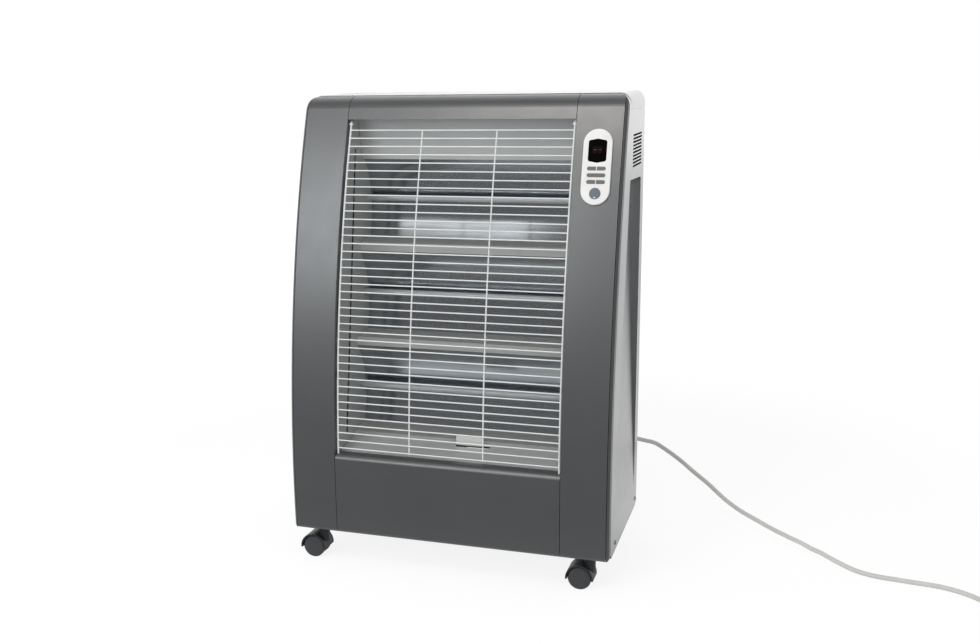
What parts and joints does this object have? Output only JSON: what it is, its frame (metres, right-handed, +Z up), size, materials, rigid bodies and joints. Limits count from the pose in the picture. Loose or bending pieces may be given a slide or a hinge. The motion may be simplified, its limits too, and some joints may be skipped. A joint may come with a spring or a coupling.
{
  "type": "halogen heater",
  "caption": "Free-standing cabinet halogen heater on twin-wheel castors, with quartz lamps in trough reflectors behind a wire guard and a push-button panel.",
  "frame": {"origin": "middle of the floor under the heater, cord aside", "axes": "+X to the control panel's side seen from the front, +Y from the front to the back, +Z up"},
  "size_m": [1.1806, 0.3945, 0.7434],
  "materials": {
    "sheet_grey": "satin graphite powder coat",
    "lid_grey": "satin graphite powder coat",
    "sheet_dark": "matt dark grey",
    "lining_grey": "satin grey",
    "moulding_grey": "fine satin metallic grey",
    "moulding_dark": "satin dark grey",
    "trim_dark": "satin dark grey",
    "guard_white": "white coat",
    "reflector_sheet": "bright rolled",
    "quartz": "clear",
    "filament": "dull",
    "ceramic": "glazed",
    "spring_steel": "bright",
    "panel_white": "gloss",
    "window_black": "gloss",
    "key_grey": "satin",
    "key_blue_grey": "satin",
    "board_green": "satin",
    "fitting_black": "satin",
    "fitting_cream": "satin",
    "wire_grey": "satin",
    "steel": "zinc plated",
    "cord_white": "satin",
    "plug_pin": "nickel plated",
    "castor_hood": "satin black",
    "castor_wheel": "satin dark grey"
  },
  "bodies": {
    "cabinet": {"side_panel_left": "sheet_grey", "side_panel_right": "sheet_grey", "lid": "lid_grey", "back_panel": "sheet_grey", "base_plate": "sheet_dark", "left_pillar": "moulding_grey", "right_pillar": "moulding_grey", "edge_trims": "trim_dark", "top_fascia": "moulding_grey", "bottom_fascia": "moulding_dark", "wire_guard": "guard_white", "reflector_upper": "reflector_sheet", "reflector_middle": "reflector_sheet", "reflector_lower": "reflector_sheet", "lamp_upper": "quartz", "lamp_middle": "quartz", "lamp_lower": "quartz", "lamp_filaments": "filament", "lamp_ceramics": "ceramic", "lamp_clips": "spring_steel", "side_liners": "lining_grey", "top_deflector": "lining_grey", "floor_tray": "lining_grey", "control_bezel": "panel_white", "display_window": "window_black", "display_module": "fitting_black", "control_board": "board_green", "power_board": "board_green", "terminal_block": "fitting_cream", "thermal_cutout": "fitting_black", "tip_switch": "fitting_black", "wire_harness": "wire_grey", "cabinet_screws": "steel", "strain_relief": "cord_white", "cord_run": "cord_white", "cord_coil": "cord_white", "plug_body": "cord_white", "plug_pins": "plug_pin"},
    "upper_left_button_body": {"upper_left_button": "key_grey"},
    "upper_right_button_body": {"upper_right_button": "key_grey"},
    "wide_button_body": {"wide_button": "key_grey"},
    "lower_left_button_body": {"lower_left_button": "key_grey"},
    "lower_right_button_body": {"lower_right_button": "key_grey"},
    "round_button_body": {"round_button": "key_blue_grey"},
    "castor_fl": {"castor_fl_hood": "castor_hood", "castor_fl_pins": "steel"},
    "castor_fl_wheel_a_body": {"castor_fl_wheel_a": "castor_wheel"},
    "castor_fl_wheel_b_body": {"castor_fl_wheel_b": "castor_wheel"},
    "castor_fr": {"castor_fr_hood": "castor_hood", "castor_fr_pins": "steel"},
    "castor_fr_wheel_a_body": {"castor_fr_wheel_a": "castor_wheel"},
    "castor_fr_wheel_b_body": {"castor_fr_wheel_b": "castor_wheel"},
    "castor_rl": {"castor_rl_hood": "castor_hood", "castor_rl_pins": "steel"},
    "castor_rl_wheel_a_body": {"castor_rl_wheel_a": "castor_wheel"},
    "castor_rl_wheel_b_body": {"castor_rl_wheel_b": "castor_wheel"},
    "castor_rr": {"castor_rr_hood": "castor_hood", "castor_rr_pins": "steel"},
    "castor_rr_wheel_a_body": {"castor_rr_wheel_a": "castor_wheel"},
    "castor_rr_wheel_b_body": {"castor_rr_wheel_b": "castor_wheel"}
  },
  "joints": [
    {"name": "upper_left_button_press", "type": "slide", "parent": "cabinet", "child": "upper_left_button_body", "axis": [0, 0.9611, -0.2762], "range_m": [0, 0.0008], "stiffness_N_per_m": 300},
    {"name": "upper_right_button_press", "type": "slide", "parent": "cabinet", "child": "upper_right_button_body", "axis": [0, 0.9611, -0.2762], "range_m": [0, 0.0008], "stiffness_N_per_m": 300},
    {"name": "wide_button_press", "type": "slide", "parent": "cabinet", "child": "wide_button_body", "axis": [0, 0.9611, -0.2762], "range_m": [0, 0.0008], "stiffness_N_per_m": 300},
    {"name": "lower_left_button_press", "type": "slide", "parent": "cabinet", "child": "lower_left_button_body", "axis": [0, 0.9611, -0.2762], "range_m": [0, 0.0008], "stiffness_N_per_m": 300},
    {"name": "lower_right_button_press", "type": "slide", "parent": "cabinet", "child": "lower_right_button_body", "axis": [0, 0.9611, -0.2762], "range_m": [0, 0.0008], "stiffness_N_per_m": 300},
    {"name": "round_button_press", "type": "slide", "parent": "cabinet", "child": "round_button_body", "axis": [0, 0.9611, -0.2762], "range_m": [0, 0.0008], "stiffness_N_per_m": 300},
    {"name": "castor_fl_swivel", "type": "hinge", "parent": "cabinet", "child": "castor_fl", "pos_m": [-0.22, -0.09, 0.056], "axis": [0, 0, 1], "continuous": true},
    {"name": "castor_fl_wheel_a_spin", "type": "hinge", "parent": "castor_fl", "child": "castor_fl_wheel_a_body", "pos_m": [-0.2335, -0.09, 0.018], "axis": [0, 1, 0], "continuous": true},
    {"name": "castor_fl_wheel_b_spin", "type": "hinge", "parent": "castor_fl", "child": "castor_fl_wheel_b_body", "pos_m": [-0.2335, -0.09, 0.018], "axis": [0, 1, 0], "continuous": true},
    {"name": "castor_fr_swivel", "type": "hinge", "parent": "cabinet", "child": "castor_fr", "pos_m": [0.22, -0.09, 0.056], "axis": [0, 0, 1], "continuous": true},
    {"name": "castor_fr_wheel_a_spin", "type": "hinge", "parent": "castor_fr", "child": "castor_fr_wheel_a_body", "pos_m": [0.2065, -0.09, 0.018], "axis": [0, 1, 0], "continuous": true},
    {"name": "castor_fr_wheel_b_spin", "type": "hinge", "parent": "castor_fr", "child": "castor_fr_wheel_b_body", "pos_m": [0.2065, -0.09, 0.018], "axis": [0, 1, 0], "continuous": true},
    {"name": "castor_rl_swivel", "type": "hinge", "parent": "cabinet", "child": "castor_rl", "pos_m": [-0.22, 0.084, 0.056], "axis": [0, 0, 1], "continuous": true},
    {"name": "castor_rl_wheel_a_spin", "type": "hinge", "parent": "castor_rl", "child": "castor_rl_wheel_a_body", "pos_m": [-0.2335, 0.084, 0.018], "axis": [0, 1, 0], "continuous": true},
    {"name": "castor_rl_wheel_b_spin", "type": "hinge", "parent": "castor_rl", "child": "castor_rl_wheel_b_body", "pos_m": [-0.2335, 0.084, 0.018], "axis": [0, 1, 0], "continuous": true},
    {"name": "castor_rr_swivel", "type": "hinge", "parent": "cabinet", "child": "castor_rr", "pos_m": [0.22, 0.084, 0.056], "axis": [0, 0, 1], "continuous": true},
    {"name": "castor_rr_wheel_a_spin", "type": "hinge", "parent": "castor_rr", "child": "castor_rr_wheel_a_body", "pos_m": [0.2065, 0.084, 0.018], "axis": [0, 1, 0], "continuous": true},
    {"name": "castor_rr_wheel_b_spin", "type": "hinge", "parent": "castor_rr", "child": "castor_rr_wheel_b_body", "pos_m": [0.2065, 0.084, 0.018], "axis": [0, 1, 0], "continuous": true}
  ]
}
